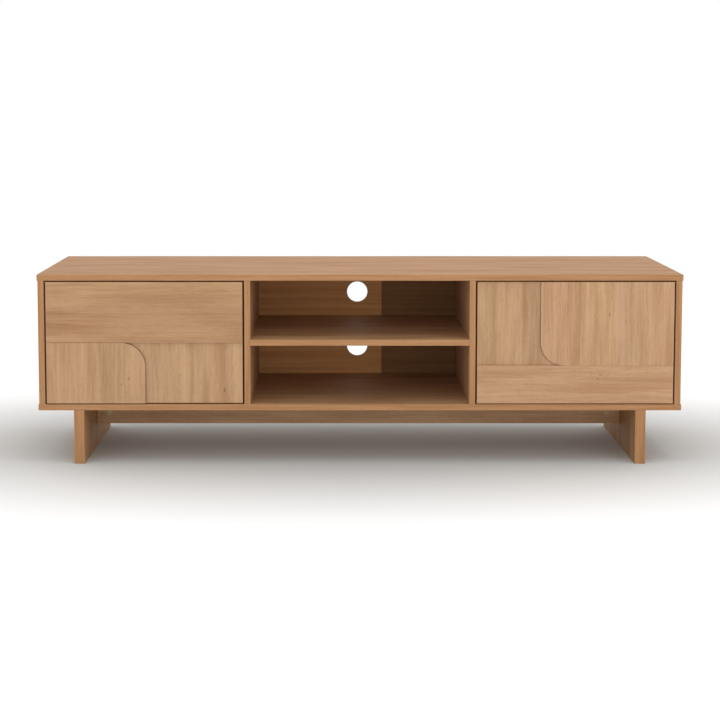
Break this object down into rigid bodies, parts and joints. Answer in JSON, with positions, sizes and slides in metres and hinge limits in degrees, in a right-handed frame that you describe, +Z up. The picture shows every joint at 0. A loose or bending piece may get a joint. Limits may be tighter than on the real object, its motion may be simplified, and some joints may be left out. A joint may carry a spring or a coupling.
{
  "type": "tv stand with doors",
  "caption": "Low oak-finish television stand with an open shelved bay between hinged push-to-open cupboards, on slab legs joined by a rail.",
  "frame": {"origin": "middle of the footprint, on the floor", "axes": "+X to the viewer's right along the length, +Y from the doors to the back, +Z up"},
  "size_m": [1.6, 0.4, 0.475],
  "materials": {
    "oak_board": "matte oak-grain foil on particle board",
    "oak_door": "matte oak-grain foil on particle board",
    "back_board": "printed oak foil on thin hardboard",
    "beech": "bare turned beech",
    "zinc": "die-cast, zinc plated",
    "nickel": "bright nickel-plated pressed steel",
    "latch_plastic": "moulded grey plastic"
  },
  "bodies": {
    "root": {"top_panel": "oak_board", "bottom_panel": "oak_board", "left_side_panel": "oak_board", "right_side_panel": "oak_board", "left_partition": "oak_board", "right_partition": "oak_board", "bay_shelf": "oak_board", "left_inner_shelf": "oak_board", "right_inner_shelf": "oak_board", "back_panel": "back_board", "left_leg": "oak_board", "right_leg": "oak_board", "centre_rail": "oak_board", "left_hinge_arms": "nickel", "left_mounting_plates": "nickel", "left_plate_screws": "nickel", "left_arm_screws": "nickel", "right_hinge_arms": "nickel", "right_mounting_plates": "nickel", "right_plate_screws": "nickel", "right_arm_screws": "nickel", "left_latch_body": "latch_plastic", "left_latch_screws": "nickel", "right_latch_body": "latch_plastic", "right_latch_screws": "nickel", "carcass_cam_locks": "zinc", "carcass_cam_bolts": "zinc", "carcass_dowels": "beech", "shelf_cam_locks": "zinc", "shelf_cam_bolts": "zinc", "shelf_dowels": "beech", "rail_cam_locks": "zinc", "rail_cam_bolts": "zinc", "rail_dowels": "beech", "leg_screws": "zinc", "left_shelf_pins": "nickel", "right_shelf_pins": "nickel"},
    "left_door": {"left_door_panel": "oak_door", "left_upper_facing": "oak_door", "left_arch_facing": "oak_door", "left_hinge_cups": "nickel", "left_hinge_pins": "nickel", "left_cup_screws": "nickel", "left_strike_plate": "nickel"},
    "right_door": {"right_door_panel": "oak_door", "right_arch_facing": "oak_door", "right_lower_facing": "oak_door", "right_hinge_cups": "nickel", "right_hinge_pins": "nickel", "right_cup_screws": "nickel", "right_strike_plate": "nickel"},
    "left_plunger": {"left_latch_plunger": "nickel"},
    "right_plunger": {"right_latch_plunger": "nickel"}
  },
  "joints": [
    {"name": "left_door_hinge", "type": "hinge", "parent": "root", "child": "left_door", "pos_m": [-0.7668, -0.19, 0.305], "axis": [0, 0, -1], "range_deg": [0, 95]},
    {"name": "right_door_hinge", "type": "hinge", "parent": "root", "child": "right_door", "pos_m": [0.7668, -0.19, 0.305], "axis": [0, 0, 1], "range_deg": [0, 95]},
    {"name": "left_latch_slide", "type": "slide", "parent": "root", "child": "left_plunger", "axis": [0, -1, 0], "range_m": [0, 0.012]},
    {"name": "right_latch_slide", "type": "slide", "parent": "root", "child": "right_plunger", "axis": [0, -1, 0], "range_m": [0, 0.012]}
  ],
  "couplings": [
    {"joint": "left_latch_slide", "follows": "left_door_hinge", "m_per_rad": 0.0072},
    {"joint": "right_latch_slide", "follows": "right_door_hinge", "m_per_rad": 0.0072}
  ]
}
